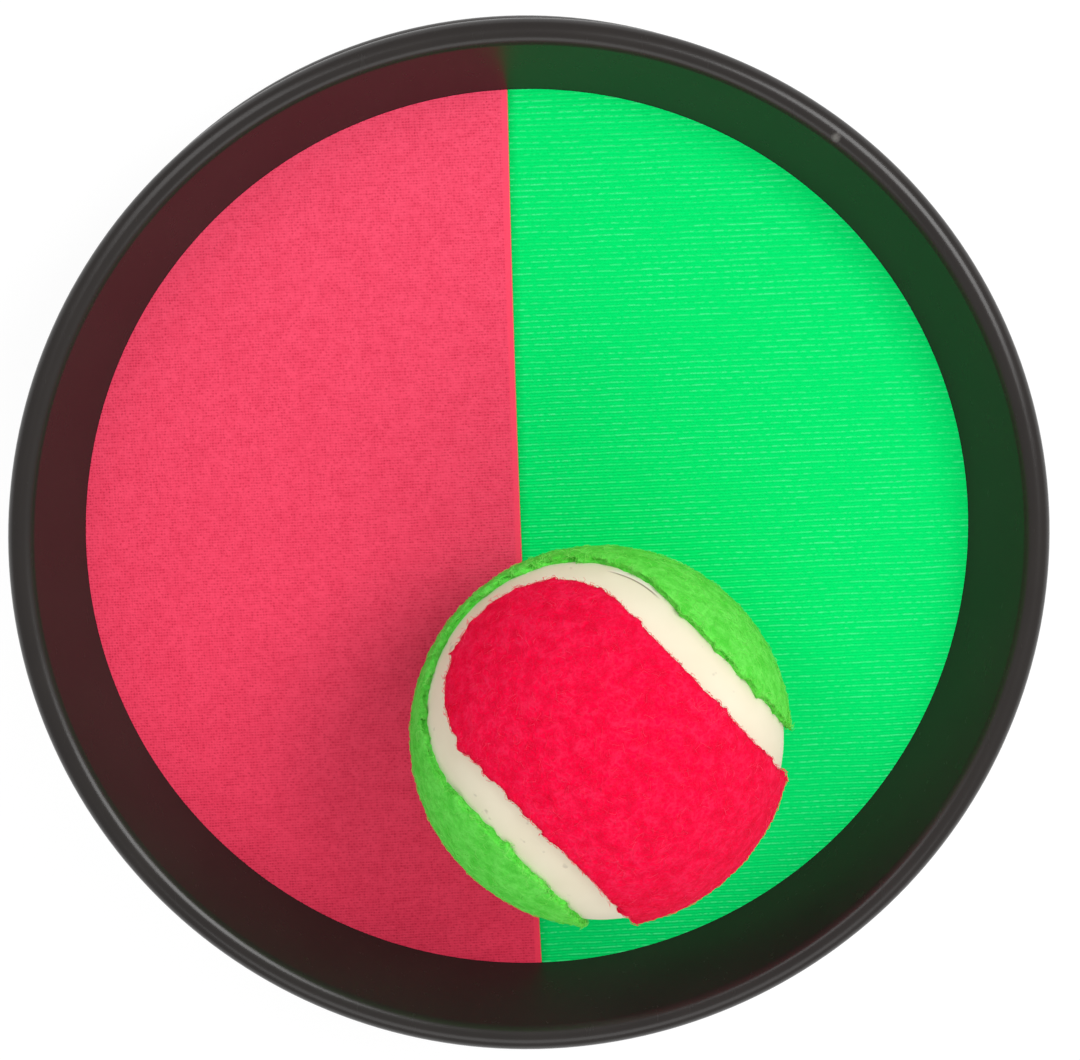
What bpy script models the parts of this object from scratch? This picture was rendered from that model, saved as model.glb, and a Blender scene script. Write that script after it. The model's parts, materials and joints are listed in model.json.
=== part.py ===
"""Hook and loop catch set: two dished catch boards, stacked flat, and a felt ball lying in the upper dish.

All sizes are in metres and +Z is up. The origin is the middle of the stack's foot ring.
Seen from above, +X is to the right and +Y is the far side.
"""

import math

import bmesh
import bpy
from mathutils import Matrix, Vector

# Clearance between pieces that touch or are glued
SEAT_GAP = 0.0003

# Board moulding
SHELL_WALL = 0.0019
RIM_WIDTH = 0.0124
LIP_BEAD_RADIUS = 0.0026
DISH_DEPTH = 0.0150
DISH_CORNER_RADIUS = 0.0015
BACK_RECESS = 0.0110
FOOT_HEIGHT = 0.0012
GUSSET_THICKNESS = 0.0015
GUSSET_CLEARANCE = 0.0045
GUSSET_COUNT = 12

# Catching face
CLOTH_RADIUS = 0.0800
CLOTH_THICKNESS = 0.0008
SPLIT_LEAN = math.radians(2.2)
SPLIT_OFFSET = -0.0007
SPLIT_BOW = 0.0007

# Hand strap and the two bridges that hold it
STRAP_WIDTH = 0.0300
STRAP_THICKNESS = 0.0012
STRAP_DIP = 0.0058
BRIDGE_SPACING = 0.0920
BRIDGE_BAR_WIDTH = 0.0034
BRIDGE_BAR_DEPTH = 0.0022
BRIDGE_SLOT_HEIGHT = 0.0030
BRIDGE_POST = 0.0030
BRIDGE_CORNER_RADIUS = 0.0020
SLOT_SIDE_CLEARANCE = 0.0008
SEWN_TAIL = 0.0210
FREE_TAIL = 0.0270
TAIL_BLEND = 0.0070
PATCH_THICKNESS = 0.0007
PATCH_MARGIN = 0.0020
HOOK_PATCH_LENGTH = 0.0170
LOOP_PATCH_LENGTH = 0.0290

# Ball
CORE_RADIUS = 0.0312
FELT_SEAT = 0.0005
FELT_THICKNESS = 0.0013
FELT_HALF_WIDTH = math.radians(34.0)
RUBBER_BAND = math.radians(14.0)
BALL_X = 0.0112
BALL_Y = -0.0308
BALL_TURN = (math.radians(-10.0), math.radians(58.0), math.radians(-55.0))

# Fineness of the round shapes
SHELL_STEPS = 48
BEAD_STEPS = 7
CORNER_STEPS = 3
CLOTH_STEPS = SHELL_STEPS // 2
SPLIT_STEPS = 8
STRAP_STEPS = 24
TURN_STEPS = 6
CORE_STEPS = (28, 14)
RED_FELT_STEPS = (26, 10)
LIME_FELT_STEPS = (30, 16)
CUT_STEPS = (28, 12)
MERGE = 0.00001

# Heights in a board, from its foot
PLATE_MIDDLE = BACK_RECESS + SHELL_WALL / 2
PLATE_TOP = BACK_RECESS + SHELL_WALL
CLOTH_BOTTOM = PLATE_TOP + SEAT_GAP
CLOTH_TOP = CLOTH_BOTTOM + CLOTH_THICKNESS
BOARD_HEIGHT = CLOTH_TOP + DISH_DEPTH
BOARD_PITCH = BOARD_HEIGHT + SEAT_GAP

# The lip's bead, and the foot that stands on the crest of the board below
LIP_RADIUS = CLOTH_RADIUS + RIM_WIDTH
BEAD_CENTRE = Vector((LIP_RADIUS - LIP_BEAD_RADIUS, BOARD_HEIGHT - LIP_BEAD_RADIUS))
BEAD_MIDDLE_RADIUS = LIP_BEAD_RADIUS - SHELL_WALL / 2

# The bridges' bar and slot
SLOT_HALF = STRAP_WIDTH / 2 + SLOT_SIDE_CLEARANCE
BAR_TOP = BACK_RECESS - BRIDGE_SLOT_HEIGHT
BAR_BOTTOM = BAR_TOP - BRIDGE_BAR_DEPTH
BAR_X = BRIDGE_SPACING / 2
BAR_INNER_X = BAR_X - BRIDGE_BAR_WIDTH / 2

# The strap's run through the slots and its turn round each bar
STRAP_HIGH = BAR_TOP + SEAT_GAP + STRAP_THICKNESS / 2
STRAP_LOW = BAR_BOTTOM - SEAT_GAP - STRAP_THICKNESS / 2
TURN_RADIUS = (STRAP_HIGH - STRAP_LOW) / 2
TURN_X = BAR_X + BRIDGE_BAR_WIDTH / 2
SEWN_DROP = STRAP_THICKNESS + SEAT_GAP
LOOP_DROP = STRAP_THICKNESS / 2 + SEAT_GAP + PATCH_THICKNESS / 2
HOOK_DROP = LOOP_DROP + PATCH_THICKNESS + SEAT_GAP
FREE_DROP = HOOK_DROP + PATCH_THICKNESS / 2 + SEAT_GAP + STRAP_THICKNESS / 2

# The felts' shape on the ball, as angles from the middle line of a panel
FELT_ARC = math.pi - 2 * FELT_HALF_WIDTH - RUBBER_BAND
FELT_INNER_RADIUS = CORE_RADIUS + FELT_SEAT
BALL_RADIUS = FELT_INNER_RADIUS + FELT_THICKNESS


def clear_scene():
    for thing in list(bpy.data.objects):
        bpy.data.objects.remove(thing, do_unlink=True)


def new_collection(name):
    collection = bpy.data.collections.new(name)
    bpy.context.scene.collection.children.link(collection)
    return collection


def new_material(name, colour, roughness, metallic=0.0):
    material = bpy.data.materials.new(name)
    material.use_nodes = True
    shader = material.node_tree.nodes["Principled BSDF"]
    shader.inputs["Base Color"].default_value = (*colour, 1.0)
    shader.inputs["Roughness"].default_value = roughness
    shader.inputs["Metallic"].default_value = metallic
    return material


def new_object(name, mesh, collection, material=None, parent=None):
    thing = bpy.data.objects.new(name, mesh)
    collection.objects.link(thing)
    thing.parent = parent
    if material is not None:
        mesh.materials.append(material)
    return thing


def new_empty(name, collection, location, rotation=(0.0, 0.0, 0.0)):
    empty = bpy.data.objects.new(name, None)
    empty.location = location
    empty.rotation_euler = rotation
    collection.objects.link(empty)
    return empty


def as_cutter(thing):
    thing.hide_render = True
    thing.display_type = "WIRE"
    return thing


def mesh_from(name, bm):
    mesh = bpy.data.meshes.new(name)
    bm.to_mesh(mesh)
    bm.free()
    return mesh


def add_solidify(thing, thickness, offset, even):
    solidify = thing.modifiers.new("wall", "SOLIDIFY")
    solidify.thickness = thickness
    solidify.offset = offset
    solidify.use_even_offset = even


def add_boolean(thing, other, operation):
    boolean = thing.modifiers.new(operation.lower(), "BOOLEAN")
    boolean.operation = operation
    boolean.solver = "EXACT"
    boolean.object = other


def add_triangles(thing):
    """Divides the uneven faces that a cut leaves in one set way, so that each build is the same."""
    triangles = thing.modifiers.new("triangles", "TRIANGULATE")
    triangles.quad_method = "FIXED_ALTERNATE"
    triangles.ngon_method = "BEAUTY"


def arc(centre, radius, start, end, steps):
    """Points on a circle, from the start angle to the end angle, both ends included."""
    points = []
    for step in range(steps + 1):
        angle = start + (end - start) * step / steps
        points.append(Vector((centre[0] + radius * math.cos(angle), centre[1] + radius * math.sin(angle))))
    return points


def extruded_outline(name, outline, thickness):
    """A flat outline with the given thickness, centred on its own plane, as a mesh."""
    curve = bpy.data.curves.new(name, "CURVE")
    curve.dimensions = "2D"
    curve.fill_mode = "BOTH"
    curve.extrude = thickness / 2
    spline = curve.splines.new("POLY")
    spline.points.add(len(outline) - 1)
    for point, place in zip(spline.points, outline):
        point.co = (place[0], place[1], 0.0, 1.0)
    spline.use_cyclic_u = True
    drawn = bpy.data.objects.new(name, curve)
    bpy.context.scene.collection.objects.link(drawn)
    bpy.context.view_layer.update()
    mesh = bpy.data.meshes.new_from_object(drawn.evaluated_get(bpy.context.evaluated_depsgraph_get()))
    bpy.data.objects.remove(drawn, do_unlink=True)
    bpy.data.curves.remove(curve)
    bm = bmesh.new()
    bm.from_mesh(mesh)
    bmesh.ops.remove_doubles(bm, verts=bm.verts, dist=MERGE)
    bmesh.ops.recalc_face_normals(bm, faces=bm.faces)
    bm.to_mesh(mesh)
    bm.free()
    mesh.name = name
    return mesh


# Shell

def dish_wall_slope():
    """Slope of the dish's wall, from the plate's corner to where it touches the lip's bead."""
    corner = Vector((CLOTH_RADIUS + SEAT_GAP, PLATE_TOP))
    to_bead = BEAD_CENTRE - corner
    return math.atan2(to_bead.y, to_bead.x) + math.asin(LIP_BEAD_RADIUS / to_bead.length)


def dish_line():
    """Middle of the wall from the plate's corner, up the dish and over the bead, down to the foot."""
    slope = dish_wall_slope()
    corner_x = CLOTH_RADIUS + SEAT_GAP + SHELL_WALL / 2 * math.tan(slope / 2)
    corner_start = corner_x - DISH_CORNER_RADIUS * math.tan(slope / 2)
    corner_centre = (corner_start, PLATE_MIDDLE + DISH_CORNER_RADIUS)
    corner = arc(corner_centre, DISH_CORNER_RADIUS, -math.pi / 2, slope - math.pi / 2, CORNER_STEPS)
    foot_top = Vector((BEAD_CENTRE.x, FOOT_HEIGHT))
    flare = math.asin(BEAD_MIDDLE_RADIUS / (BEAD_CENTRE - foot_top).length)
    bead = arc(BEAD_CENTRE, BEAD_MIDDLE_RADIUS, math.pi / 2 + slope, -flare, BEAD_STEPS)
    foot = [foot_top, Vector((BEAD_CENTRE.x, 0.0))]
    return corner + bead + foot


def shell_section():
    return [Vector((0.0, PLATE_MIDDLE))] + dish_line()


def revolved_wall(name, section, collection, material, parent):
    bm = bmesh.new()
    ring = [bm.verts.new((point.x, 0.0, point.y)) for point in section]
    for first, second in zip(ring, ring[1:]):
        bm.edges.new((first, second))
    wall = new_object(name, mesh_from(name, bm), collection, material, parent)
    screw = wall.modifiers.new("turn", "SCREW")
    screw.axis = "Z"
    screw.angle = 2 * math.pi
    screw.steps = SHELL_STEPS
    screw.render_steps = SHELL_STEPS
    screw.use_merge_vertices = True
    screw.merge_threshold = MERGE
    screw.use_normal_calculate = True
    add_solidify(wall, SHELL_WALL, 0.0, True)
    return wall


def gusset_outline():
    """Web across the hollow rim: it follows the middle of the wall, and slopes down to the outside."""
    line = dish_line()
    inner = line[CORNER_STEPS]
    bead = line[CORNER_STEPS + 1:-2]
    share = (GUSSET_CLEARANCE - FOOT_HEIGHT) / (bead[-1].y - FOOT_HEIGHT)
    outer = line[-2].lerp(bead[-1], share)
    return [inner] + bead + [outer]


def bridge_outline():
    """Bar on two posts, seen along the strap: across the strap, and up to the middle of the plate."""
    outer = SLOT_HALF + BRIDGE_POST
    low = BAR_BOTTOM + BRIDGE_CORNER_RADIUS
    left = arc((-outer + BRIDGE_CORNER_RADIUS, low), BRIDGE_CORNER_RADIUS, math.pi, 1.5 * math.pi, CORNER_STEPS)
    right = arc((outer - BRIDGE_CORNER_RADIUS, low), BRIDGE_CORNER_RADIUS, 1.5 * math.pi, 2 * math.pi, CORNER_STEPS)
    top = [Vector((outer, PLATE_MIDDLE)), Vector((SLOT_HALF, PLATE_MIDDLE))]
    slot = [Vector((SLOT_HALF, BAR_TOP)), Vector((-SLOT_HALF, BAR_TOP))]
    end = [Vector((-SLOT_HALF, PLATE_MIDDLE)), Vector((-outer, PLATE_MIDDLE))]
    return left + right + top + slot + end


def add_copy(bm, mesh, matrix):
    start = len(bm.verts)
    bm.from_mesh(mesh)
    bm.verts.ensure_lookup_table()
    bmesh.ops.transform(bm, matrix=matrix, verts=bm.verts[start:])


def inner_webs(name, cutters, parent):
    """Gussets in the rim and bridges under the plate, as one mesh of separate bodies."""
    upright = Matrix.Rotation(math.pi / 2, 4, "X")
    gusset = extruded_outline("gusset", gusset_outline(), GUSSET_THICKNESS)
    bridge = extruded_outline("bridge", bridge_outline(), BRIDGE_BAR_WIDTH)
    bm = bmesh.new()
    for index in range(GUSSET_COUNT):
        turn = Matrix.Rotation(2 * math.pi * (index + 0.5) / GUSSET_COUNT, 4, "Z")
        add_copy(bm, gusset, turn @ upright)
    across = Matrix.Rotation(math.pi / 2, 4, "Z") @ upright
    for side in (-1, 1):
        add_copy(bm, bridge, Matrix.Translation((side * BAR_X, 0.0, 0.0)) @ across)
    webs = new_object(name, mesh_from(name, bm), cutters, None, parent)
    return as_cutter(webs)


def make_shell(board, collection, cutters, material, parent):
    shell = revolved_wall(board + "_shell", shell_section(), collection, material, parent)
    add_boolean(shell, inner_webs(board + "_webs", cutters, parent), "UNION")
    return shell


# Catching cloth

def half_disc(side):
    """Outline of one half of the face; the side is -1 on the left and 1 on the right."""
    rim = arc((0.0, 0.0), CLOTH_RADIUS, -math.pi / 2, math.pi / 2, CLOTH_STEPS)[1:-1]
    outline = [Vector((side * point.x, point.y)) for point in rim]
    reach = math.sqrt(CLOTH_RADIUS ** 2 - SPLIT_OFFSET ** 2)
    for step in range(SPLIT_STEPS + 1):
        y = reach * (1 - 2 * step / SPLIT_STEPS)
        bow = SPLIT_BOW * (1 - (y / reach) ** 2)
        outline.append(Vector((SPLIT_OFFSET - bow + side * SEAT_GAP / 2, y * (1 - MERGE))))
    return outline


def make_cloth(name, side, collection, material, parent):
    mesh = extruded_outline(name, half_disc(side), CLOTH_THICKNESS)
    cloth = new_object(name, mesh, collection, material, parent)
    cloth.location = (0.0, 0.0, (CLOTH_BOTTOM + CLOTH_TOP) / 2)
    return cloth


# Hand strap

def main_run_height(x):
    """Middle of the strap's long run, which dips between the bridges to let a hand in."""
    share = min(abs(x) / BAR_INNER_X, 1.0)
    return STRAP_HIGH - STRAP_DIP * (1 + math.cos(math.pi * share)) / 2


def tail_height(x, drop):
    """Middle of an end that is folded back below the long run."""
    share = min(max((BAR_INNER_X - abs(x)) / TAIL_BLEND, 0.0), 1.0)
    smooth = share * share * (3 - 2 * share)
    return STRAP_LOW + smooth * (main_run_height(x) - drop - STRAP_LOW)


def evenly(start, end, steps):
    return [start + (end - start) * step / steps for step in range(steps + 1)]


def strap_path():
    """From the sewn end, round the left bar, along the hand gap, round the right bar to the free end."""
    sewn_end = -BAR_X + SEWN_TAIL
    free_end = BAR_X - FREE_TAIL
    middle = (STRAP_HIGH + STRAP_LOW) / 2
    sewn = [Vector((x, tail_height(x, SEWN_DROP))) for x in evenly(sewn_end, -BAR_X, STRAP_STEPS // 3)]
    left = arc((-TURN_X, middle), TURN_RADIUS, 1.5 * math.pi, math.pi / 2, TURN_STEPS)
    run = [Vector((x, main_run_height(x))) for x in evenly(-BAR_INNER_X, BAR_INNER_X, STRAP_STEPS)]
    right = arc((TURN_X, middle), TURN_RADIUS, math.pi / 2, -math.pi / 2, TURN_STEPS)
    free = [Vector((x, tail_height(x, FREE_DROP))) for x in evenly(BAR_X, free_end, STRAP_STEPS // 3)]
    return sewn + left + run + right + free


def make_ribbon(name, path, width, thickness, collection, material, parent):
    """Flat webbing or tape that follows a path of X and Z, with its width along Y."""
    bm = bmesh.new()
    edge_line = [bm.verts.new((point.x, -width / 2, point.y)) for point in path]
    edges = [bm.edges.new(pair) for pair in zip(edge_line, edge_line[1:])]
    swept = bmesh.ops.extrude_edge_only(bm, edges=edges)
    far_side = [part for part in swept["geom"] if isinstance(part, bmesh.types.BMVert)]
    bmesh.ops.translate(bm, vec=(0.0, width, 0.0), verts=far_side)
    ribbon = new_object(name, mesh_from(name, bm), collection, material, parent)
    add_solidify(ribbon, thickness, 0.0, True)
    return ribbon


def patch_path(start, length, drop):
    steps = max(4, round(STRAP_STEPS * length / BRIDGE_SPACING))
    return [Vector((x, main_run_height(x) - drop)) for x in evenly(start, start - length, steps)]


def make_strap(board, collection, materials, parent):
    patch_width = STRAP_WIDTH - 2 * PATCH_MARGIN
    patch_start = BAR_INNER_X - TAIL_BLEND
    loop_path = patch_path(patch_start, LOOP_PATCH_LENGTH, LOOP_DROP)
    hook_path = patch_path(patch_start, HOOK_PATCH_LENGTH, HOOK_DROP)
    make_ribbon(board + "_hand_strap", strap_path(), STRAP_WIDTH, STRAP_THICKNESS,
                collection, materials["webbing"], parent)
    make_ribbon(board + "_strap_loop_patch", loop_path, patch_width, PATCH_THICKNESS,
                collection, materials["tape"], parent)
    make_ribbon(board + "_strap_hook_patch", hook_path, patch_width, PATCH_THICKNESS,
                collection, materials["tape"], parent)


def make_board(board, height, collection, cutters, materials):
    place = new_empty(board + "_board", collection, (0.0, 0.0, height), (0.0, 0.0, SPLIT_LEAN))
    make_shell(board, collection, cutters, materials["black_plastic"], place)
    make_cloth(board + "_pink_cloth", -1, collection, materials["pink_cloth"], place)
    make_cloth(board + "_green_cloth", 1, collection, materials["green_cloth"], place)
    make_strap(board, collection, materials, place)


# Ball

def on_ball(across, along, half_width, radius):
    """Point of a strip with round ends on a sphere; across and along run from -1 to 1.

    The strip's middle line is an arc round +Z in the XZ plane, and its half-width and its ends'
    radius are one angle, so its edge keeps that angle from the middle line all round.
    """
    latitude = math.asin(math.sin(half_width) * math.sin(across * math.pi / 2))
    end_reach = math.acos(min(math.cos(half_width) / math.cos(latitude), 1.0))
    longitude = along * (FELT_ARC + end_reach)
    return Vector((
        radius * math.cos(latitude) * math.sin(longitude),
        radius * math.sin(latitude),
        radius * math.cos(latitude) * math.cos(longitude),
    ))


def felt_strip(name, half_width, radius, steps):
    bm = bmesh.new()
    bmesh.ops.create_grid(bm, x_segments=steps[0], y_segments=steps[1], size=1.0)
    for vert in bm.verts:
        vert.co = on_ball(vert.co.y, vert.co.x, half_width, radius)
    return mesh_from(name, bm)


def make_core(collection, material, parent):
    bm = bmesh.new()
    bmesh.ops.create_uvsphere(bm, u_segments=CORE_STEPS[0], v_segments=CORE_STEPS[1], radius=CORE_RADIUS)
    return new_object("ball_core", mesh_from("ball_core", bm), collection, material, parent)


def make_red_felt(collection, material, parent):
    mesh = felt_strip("ball_red_felt", FELT_HALF_WIDTH, FELT_INNER_RADIUS, RED_FELT_STEPS)
    felt = new_object("ball_red_felt", mesh, collection, material, parent)
    add_solidify(felt, FELT_THICKNESS, 1.0, False)
    return felt


def make_lime_felt(collection, cutters, material, parent):
    """All of the ball's cover that the red strip, with a rubber band's width round it, leaves."""
    bm = bmesh.new()
    around, along = LIME_FELT_STEPS
    bmesh.ops.create_uvsphere(bm, u_segments=around, v_segments=along, radius=FELT_INNER_RADIUS)
    bmesh.ops.rotate(bm, verts=bm.verts, matrix=Matrix.Rotation(math.pi / 2, 3, "X"))
    felt = new_object("ball_lime_felt", mesh_from("ball_lime_felt", bm), collection, material, parent)
    add_solidify(felt, FELT_THICKNESS, 1.0, False)
    cut_depth = FELT_THICKNESS + 4 * FELT_SEAT
    half_width = FELT_HALF_WIDTH + RUBBER_BAND
    mesh = felt_strip("red_side", half_width, FELT_INNER_RADIUS - 2 * FELT_SEAT, CUT_STEPS)
    red_side = as_cutter(new_object("red_side", mesh, cutters, None, parent))
    add_solidify(red_side, cut_depth, 1.0, False)
    add_boolean(felt, red_side, "DIFFERENCE")
    add_triangles(felt)
    return felt


def make_ball(collection, cutters, materials):
    height = BOARD_PITCH + CLOTH_TOP + SEAT_GAP + BALL_RADIUS
    place = new_empty("ball", collection, (BALL_X, BALL_Y, height), BALL_TURN)
    make_core(collection, materials["rubber"], place)
    make_red_felt(collection, materials["red_felt"], place)
    make_lime_felt(collection, cutters, materials["lime_felt"], place)


def make_materials():
    return {
        "black_plastic": new_material("black_plastic", (0.012, 0.011, 0.010), 0.25),
        "pink_cloth": new_material("pink_cloth", (0.78, 0.04, 0.12), 0.85),
        "green_cloth": new_material("green_cloth", (0.0, 0.72, 0.14), 0.85),
        "webbing": new_material("webbing", (0.015, 0.015, 0.016), 0.75),
        "tape": new_material("tape", (0.020, 0.020, 0.022), 0.90),
        "rubber": new_material("rubber", (0.80, 0.72, 0.55), 0.60),
        "red_felt": new_material("red_felt", (0.95, 0.0, 0.05), 0.95),
        "lime_felt": new_material("lime_felt", (0.12, 0.72, 0.04), 0.95),
    }


def smooth_round_pieces(collection):
    for thing in collection.objects:
        if thing.type == "MESH":
            thing.data.shade_smooth()
            thing.data.set_sharp_from_angle(angle=math.radians(40.0))


def main():
    clear_scene()
    collection = new_collection("hook_and_loop_catch_set")
    cutters = new_collection("cutters")
    materials = make_materials()
    make_board("lower", 0.0, collection, cutters, materials)
    make_board("upper", BOARD_PITCH, collection, cutters, materials)
    make_ball(collection, cutters, materials)
    smooth_round_pieces(collection)


main()
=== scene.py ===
# %% [markdown]
# # A hook and loop catch set
#
# Two round catch boards lie on each other and a felt ball lies in the upper one. The CAD frame
# already holds every piece at its real size. This notebook dresses it: each piece is drawn again
# with finer curves, in place, and gets its own procedural material.
#
# All sizes are in metres, +Z is up, +X is to the right and +Y is the far side.

import json
import math

import bmesh
import bpy
import numpy as np
from mathutils import Matrix, Vector

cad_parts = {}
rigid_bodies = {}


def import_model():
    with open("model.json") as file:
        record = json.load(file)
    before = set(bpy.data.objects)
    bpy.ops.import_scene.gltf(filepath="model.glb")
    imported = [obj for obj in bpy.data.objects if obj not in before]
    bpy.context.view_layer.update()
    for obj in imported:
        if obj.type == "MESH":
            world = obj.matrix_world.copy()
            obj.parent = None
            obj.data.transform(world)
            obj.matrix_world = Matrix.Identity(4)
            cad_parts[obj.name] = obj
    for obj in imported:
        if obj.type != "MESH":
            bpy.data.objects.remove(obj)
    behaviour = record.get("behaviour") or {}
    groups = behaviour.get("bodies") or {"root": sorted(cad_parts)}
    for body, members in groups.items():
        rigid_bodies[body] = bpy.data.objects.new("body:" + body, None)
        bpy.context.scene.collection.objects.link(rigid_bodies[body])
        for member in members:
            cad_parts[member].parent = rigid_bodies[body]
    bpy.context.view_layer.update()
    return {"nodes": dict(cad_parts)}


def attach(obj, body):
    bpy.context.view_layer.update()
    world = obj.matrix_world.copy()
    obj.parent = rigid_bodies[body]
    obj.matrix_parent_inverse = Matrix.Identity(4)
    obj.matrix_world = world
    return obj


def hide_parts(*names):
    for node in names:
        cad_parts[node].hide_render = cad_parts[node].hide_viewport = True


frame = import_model()
print("nodes:", ", ".join(sorted(frame["nodes"])))

# %% [markdown]
# ## Sizes
#
# The same named sizes that the CAD solids were built from. The plate carries the cloth, the dish's
# wall leans out from the plate to a round lip, and an outer wall comes back down to the foot, so the
# rim is hollow from below. One board stands with its foot on the crest of the other.

# %% Sizes of a board
SEAT_GAP = 0.0003
SHELL_WALL = 0.0019
RIM_WIDTH = 0.0124
LIP_BEAD_RADIUS = 0.0026
DISH_DEPTH = 0.0150
DISH_CORNER_RADIUS = 0.0015
BACK_RECESS = 0.0110
FOOT_HEIGHT = 0.0012
CLOTH_RADIUS = 0.0800
CLOTH_THICKNESS = 0.0008
SPLIT_LEAN = math.radians(2.2)
SPLIT_OFFSET = -0.0007
SPLIT_BOW = 0.0007
WALL_TUCK = 0.0009

LIP_RADIUS = CLOTH_RADIUS + RIM_WIDTH
PLATE_TOP = BACK_RECESS + SHELL_WALL
PLATE_MIDDLE = BACK_RECESS + SHELL_WALL / 2
CLOTH_BOTTOM = PLATE_TOP + SEAT_GAP
CLOTH_TOP = CLOTH_BOTTOM + CLOTH_THICKNESS
WALL_FOOT = CLOTH_RADIUS - WALL_TUCK
BOARD_HEIGHT = CLOTH_TOP + DISH_DEPTH
BOARD_PITCH = BOARD_HEIGHT + SEAT_GAP
BOARDS = {"lower": 0.0, "upper": BOARD_PITCH}
print(f"board {BOARD_HEIGHT * 1000:.1f} mm high, stack pitch {BOARD_PITCH * 1000:.1f} mm")

# %% [markdown]
# ## Small helpers
#
# Most operators act on whatever is selected, so each helper first clears the selection. A finished
# piece has its place in its mesh and its object at the origin, so patterns that read Object
# coordinates stay where they are.

# %% Helpers for selection and finishing
def select_none():
    for thing in bpy.context.view_layer.objects:
        thing.select_set(False)


def only(*pieces):
    """Selects these pieces alone, and makes the first one active."""
    select_none()
    for piece in pieces:
        piece.select_set(True)
    bpy.context.view_layer.objects.active = pieces[0]


def edit(piece, select="SELECT"):
    """Goes into edit mode with all of the mesh selected, or none of it."""
    only(piece)
    bpy.ops.object.mode_set(mode="EDIT")
    bpy.ops.mesh.select_all(action=select)


def done():
    bpy.ops.object.mode_set(mode="OBJECT")


def select_points(piece, test):
    """In edit mode, selects the points whose place passes the test, and the edges between them."""
    bm = bmesh.from_edit_mesh(piece.data)
    for vert in bm.verts:
        vert.select_set(test(vert.co))
    bm.select_flush_mode()
    bmesh.update_edit_mesh(piece.data)


def apply_place(piece):
    only(piece)
    bpy.ops.object.transform_apply(location=True, rotation=True, scale=True)


def modify(piece, kind, **settings):
    """Adds a modifier, sets it and applies it."""
    only(piece)
    modifier = piece.modifiers.new(kind.lower(), kind)
    for key, value in settings.items():
        setattr(modifier, key, value)
    bpy.ops.object.modifier_apply(modifier=modifier.name)


def round_edges(piece, width, segments, sharper_than=60.0):
    """Bevels the edges whose faces meet at more than this angle, in degrees."""
    limit = math.radians(sharper_than)
    modify(piece, "BEVEL", width=width, segments=segments, limit_method="ANGLE", angle_limit=limit)


def named(piece, name):
    piece.name = name
    piece.data.name = name
    return piece


def smooth(piece, angle=40.0):
    only(piece)
    bpy.ops.object.shade_smooth_by_angle(angle=math.radians(angle))


def size_line(piece):
    size = piece.dimensions * 1000
    faces = len(piece.data.polygons)
    print(f"{piece.name}: {size.x:.1f} x {size.y:.1f} x {size.z:.1f} mm, {faces} faces")


# %% [markdown]
# A turned shape starts as a line in the XZ plane, drawn by extruding one vertex from point to point,
# just as one would trace a profile by hand. Spin then turns the line round the Z axis.

# %% Helpers for drawing and spinning
def draw_line(name, points, closed=False):
    """A piece that is a line of edges through these points, closed to a flat face if asked."""
    select_none()
    bpy.ops.mesh.primitive_plane_add(size=0.001, location=points[0])
    piece = named(bpy.context.object, name)
    edit(piece)
    bpy.ops.mesh.merge(type="CENTER")
    for first, second in zip(points, points[1:]):
        bpy.ops.mesh.extrude_vertices_move(TRANSFORM_OT_translate={"value": Vector(second) - Vector(first)})
    if closed:
        bpy.ops.mesh.select_all(action="SELECT")
        bpy.ops.mesh.edge_face_add()
        bpy.ops.mesh.select_all(action="SELECT")
        bpy.ops.mesh.edge_face_add()
    done()
    apply_place(piece)
    return piece


def spin_round(piece, steps):
    edit(piece)
    bpy.ops.mesh.spin(steps=steps, angle=2 * math.pi, center=(0, 0, 0), axis=(0, 0, 1))
    bpy.ops.mesh.select_all(action="SELECT")
    bpy.ops.mesh.remove_doubles(threshold=0.000001)
    bpy.ops.mesh.normals_make_consistent(inside=False)
    done()


def arc(centre, radius, start, end, steps):
    points = []
    for step in range(steps + 1):
        angle = start + (end - start) * step / steps
        points.append((centre[0] + radius * math.cos(angle), centre[1] + radius * math.sin(angle)))
    return points


# %% [markdown]
# ## The moulded board
#
# The real board is one injection moulding of glossy black plastic. It could be carved out of a
# cylinder with insets, but the lip is a full round bead that runs tangentially into both walls, and a
# spun profile gives exactly that. The profile is the middle of the wall; Solidify gives the wall its
# thickness to both sides, and a fine bevel takes the edge off the foot. The dish's wall starts a hair
# inside the cloth's edge, so that the glued cloth runs into it with no dark gap, as on the real board.

# %% Profile of the wall
BEAD_CENTRE = (LIP_RADIUS - LIP_BEAD_RADIUS, BOARD_HEIGHT - LIP_BEAD_RADIUS)
BEAD_MIDDLE_RADIUS = LIP_BEAD_RADIUS - SHELL_WALL / 2
SPIN_STEPS = 240
CORNER_STEPS = 8
BEAD_STEPS = 24
FOOT_EDGE = 0.00035

corner_to_bead = Vector(BEAD_CENTRE) - Vector((WALL_FOOT, PLATE_TOP))
slope = math.atan2(corner_to_bead.y, corner_to_bead.x)
slope += math.asin(LIP_BEAD_RADIUS / corner_to_bead.length)
corner_x = WALL_FOOT + SHELL_WALL / 2 * math.tan(slope / 2)
corner_centre = (corner_x - DISH_CORNER_RADIUS * math.tan(slope / 2), PLATE_MIDDLE + DISH_CORNER_RADIUS)
foot_top = Vector((BEAD_CENTRE[0], FOOT_HEIGHT))
flare = math.asin(BEAD_MIDDLE_RADIUS / (Vector(BEAD_CENTRE) - foot_top).length)

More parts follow.
